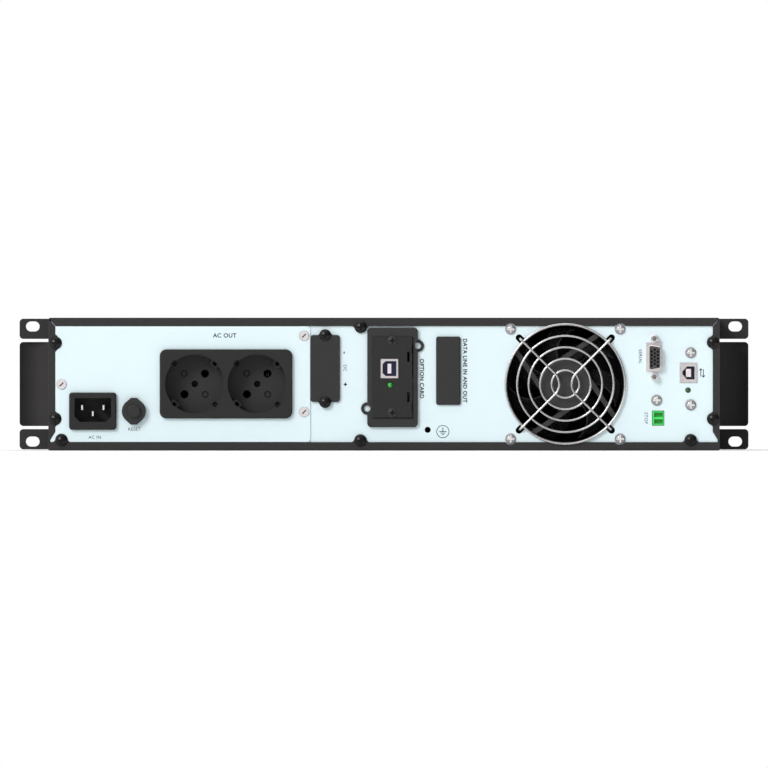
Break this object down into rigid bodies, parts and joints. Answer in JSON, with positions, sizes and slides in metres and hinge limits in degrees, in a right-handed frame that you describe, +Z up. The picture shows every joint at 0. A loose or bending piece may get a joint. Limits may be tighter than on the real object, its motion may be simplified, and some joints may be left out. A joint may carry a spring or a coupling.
{
  "type": "rackmount ups",
  "caption": "Low rackmount uninterruptible power supply with rack ears, rear sockets, mains inlet, fan, ports, communication slot, battery drawer and turning display.",
  "frame": {"origin": "middle of the underside's outline, on the surface the unit rests on", "axes": "+X to the right as seen from the front, +Y towards the rear panel, +Z up"},
  "size_m": [0.4826, 0.38, 0.0865],
  "materials": {
    "black_coat": "fine powder coat",
    "light_coat": "smooth light powder coat",
    "zinc_sheet": "zinc-plated sheet",
    "black_screw": "glossy black",
    "bright_screw": "bright nickel",
    "black_moulding": "fine matt moulding",
    "button_plastic": "satin",
    "nickel_plate": "nickel plating",
    "brass_contact": "bare brass",
    "port_black": "matt",
    "port_blue": "satin",
    "plug_green": "satin",
    "led_green": "clear tinted lens",
    "guard_wire": "nickel-plated wire",
    "fan_black": "satin",
    "bezel_plastic": "fine texture",
    "display_glass": "clear",
    "battery_case": "moulded",
    "circuit_board": "solder mask",
    "bare_aluminium": "extruded",
    "laminated_core": "varnished"
  },
  "bodies": {
    "chassis": {"base_tray": "black_coat", "top_cover": "black_coat", "rear_panel": "light_coat", "front_panel": "black_coat", "battery_divider": "zinc_sheet", "rack_ear_left": "black_coat", "rack_ear_right": "black_coat", "ear_screws": "black_screw", "case_screws": "black_screw", "outlet_plate": "light_coat", "outlet_plate_screws": "bright_screw", "inlet_housing": "black_moulding", "inlet_pins": "nickel_plate", "breaker_body": "black_moulding", "socket_housing": "black_moulding", "socket_contacts": "brass_contact", "earth_clips": "nickel_plate", "socket_screws": "black_screw", "outlet_bracket": "zinc_sheet", "battery_port_cover": "black_moulding", "battery_port_connector": "black_moulding", "slot_frame": "black_moulding", "slot_guides": "black_moulding", "surge_port_cover": "black_moulding", "earth_nut": "nickel_plate", "fan_guard": "guard_wire", "fan_frame": "fan_black", "fan_screws": "bright_screw", "serial_shell": "nickel_plate", "serial_insert": "port_black", "serial_jackscrews": "nickel_plate", "usb_shell": "nickel_plate", "usb_insert": "port_blue", "comm_led": "led_green", "comm_board": "circuit_board", "comm_board_screws": "bright_screw", "epo_header": "black_moulding", "front_bezel": "bezel_plastic", "power_board": "circuit_board", "heatsinks": "bare_aluminium", "capacitors": "bare_aluminium", "transformer": "laminated_core"},
    "fan_rotor": {"fan_impeller": "fan_black"},
    "breaker_actuator": {"breaker_button": "button_plastic"},
    "slot_card": {"card_plate": "black_moulding", "card_board": "circuit_board", "card_screws": "black_screw", "card_usb_shell": "nickel_plate", "card_usb_insert": "port_blue", "card_led": "led_green"},
    "epo_connector": {"epo_plug": "plug_green"},
    "display": {"display_housing": "bezel_plastic", "lcd_window": "display_glass"},
    "power_key": {"power_button": "button_plastic"},
    "select_key": {"select_button": "button_plastic"},
    "mute_key": {"mute_button": "button_plastic"},
    "battery_drawer": {"battery_cover": "bezel_plastic", "battery_tray": "black_coat", "batteries": "battery_case", "battery_terminals": "brass_contact"}
  },
  "joints": [
    {"name": "fan_spin", "type": "hinge", "parent": "chassis", "child": "fan_rotor", "pos_m": [-0.1183, 0.165, 0.04325], "axis": [0, 1, 0], "continuous": true},
    {"name": "breaker_trip", "type": "slide", "parent": "chassis", "child": "breaker_actuator", "axis": [0, 1, 0], "range_m": [0, 0.005]},
    {"name": "card_slide", "type": "slide", "parent": "chassis", "child": "slot_card", "axis": [0, 1, 0], "range_m": [0, 0.12]},
    {"name": "epo_pull", "type": "slide", "parent": "chassis", "child": "epo_connector", "axis": [0, 1, 0], "range_m": [0, 0.012]},
    {"name": "display_turn", "type": "hinge", "parent": "chassis", "child": "display", "pos_m": [0.012, -0.187, 0.04325], "axis": [0, 1, 0], "range_deg": [0, 90]},
    {"name": "power_press", "type": "slide", "parent": "display", "child": "power_key", "axis": [0, 1, 0], "range_m": [0, 0.0012], "stiffness_N_per_m": 400},
    {"name": "select_press", "type": "slide", "parent": "display", "child": "select_key", "axis": [0, 1, 0], "range_m": [0, 0.0012], "stiffness_N_per_m": 400},
    {"name": "mute_press", "type": "slide", "parent": "display", "child": "mute_key", "axis": [0, 1, 0], "range_m": [0, 0.0012], "stiffness_N_per_m": 400},
    {"name": "drawer_slide", "type": "slide", "parent": "chassis", "child": "battery_drawer", "axis": [0, -1, 0], "range_m": [0, 0.2]}
  ]
}
